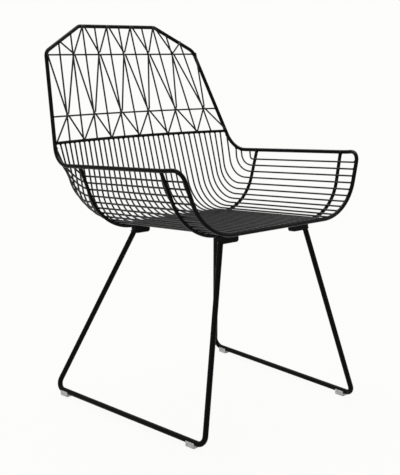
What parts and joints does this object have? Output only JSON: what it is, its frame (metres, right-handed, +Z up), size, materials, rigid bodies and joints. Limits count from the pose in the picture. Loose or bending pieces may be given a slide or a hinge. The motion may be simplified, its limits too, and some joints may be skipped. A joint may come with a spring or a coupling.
{
  "type": "wire mesh armchair",
  "caption": "Low armchair of bent and welded wire: a bucket seat of parallel wires, a triangulated wire back and sled legs with floor glides.",
  "frame": {"origin": "on the floor, under the middle of the chair's bounding box", "axes": "+Z up, the sitter faces -Y, X is the width and the chair is mirrored across X = 0"},
  "size_m": [0.557, 0.5894, 0.8648],
  "materials": {
    "frame": "satin black powder coat",
    "wire": "satin black powder coat",
    "base": "satin black powder coat",
    "bracket": "satin black powder coat",
    "glide": "milky translucent grey plastic"
  },
  "bodies": {
    "root": {"back_uprights": "wire", "crossbar": "frame", "front_rib": "frame", "glides": "glide", "left_front_bracket": "bracket", "left_rear_bracket": "bracket", "left_sled": "base", "lower_wire": "wire", "lower_zigzag": "wire", "middle_zigzag": "wire", "outer_frame": "frame", "rear_rib": "frame", "right_front_bracket": "bracket", "right_rear_bracket": "bracket", "right_sled": "base", "seat_wire_01": "wire", "seat_wire_02": "wire", "seat_wire_03": "wire", "seat_wire_04": "wire", "seat_wire_05": "wire", "seat_wire_06": "wire", "seat_wire_07": "wire", "seat_wire_08": "wire", "seat_wire_09": "wire", "seat_wire_10": "wire", "seat_wire_11": "wire", "seat_wire_12": "wire", "seat_wire_13": "wire", "seat_wire_14": "wire", "seat_wire_15": "wire", "seat_wire_16": "wire", "seat_wire_17": "wire", "seat_wire_18": "wire", "seat_wire_19": "wire", "seat_wire_20": "wire", "seat_wire_21": "wire", "seat_wire_22": "wire", "seat_wire_23": "wire", "seat_wire_24": "wire", "seat_wire_25": "wire", "seat_wire_26": "wire", "seat_wire_27": "wire", "seat_wire_28": "wire", "seat_wire_29": "wire", "seat_wire_30": "wire", "seat_wire_31": "wire", "seat_wire_32": "wire", "seat_wire_33": "wire", "seat_wire_34": "wire", "seat_wire_35": "wire", "seat_wire_36": "wire", "seat_wire_37": "wire", "seat_wire_38": "wire", "seat_wire_39": "wire", "seat_wire_40": "wire", "seat_wire_41": "wire", "shoulder_wire": "wire", "upper_zigzag": "wire"}
  },
  "joints": []
}
